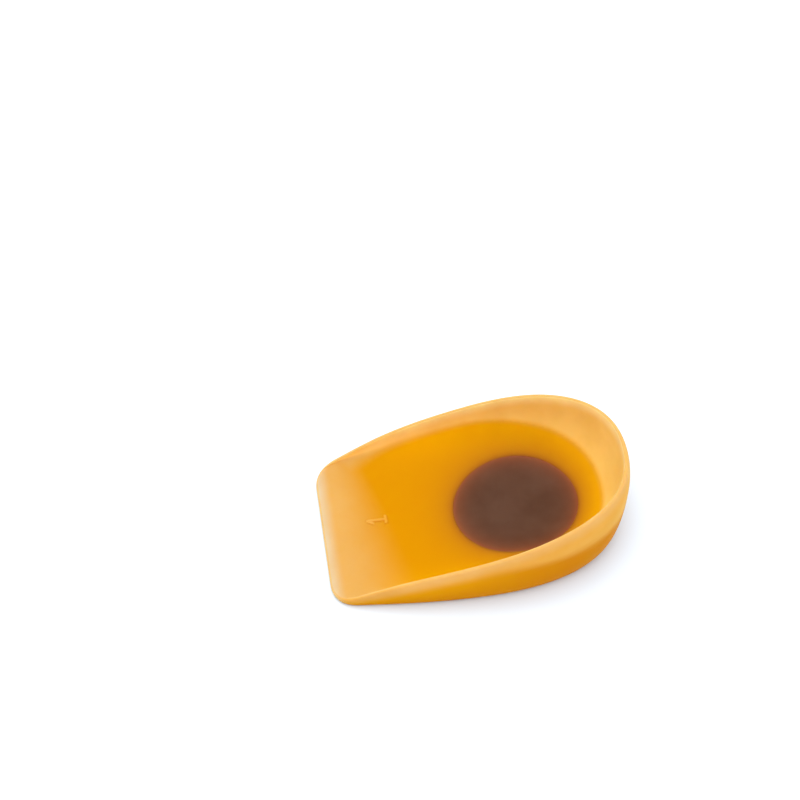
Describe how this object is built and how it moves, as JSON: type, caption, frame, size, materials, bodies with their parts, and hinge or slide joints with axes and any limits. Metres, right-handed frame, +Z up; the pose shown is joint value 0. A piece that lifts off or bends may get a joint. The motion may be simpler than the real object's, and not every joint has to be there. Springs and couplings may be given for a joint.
{
  "type": "heel cup",
  "caption": "Shoe insert that cups the heel: a thin front edge rises to a deep rounded wall, with a softer oval pad let into the floor.",
  "frame": {"origin": "on the flat underside, midway between the front edge and the back of the heel, on the line of symmetry", "axes": "+Y towards the back of the heel, -Y towards the thin front edge and the toes, +X across the foot, +Z up"},
  "size_m": [0.065, 0.1, 0.032],
  "materials": {
    "amber_silicone": "satin, translucent amber silicone, paler where it is thin",
    "brown_silicone": "satin, softer brown silicone"
  },
  "bodies": {
    "root": {"cup_shell": "amber_silicone", "soft_pad": "brown_silicone"}
  },
  "joints": []
}
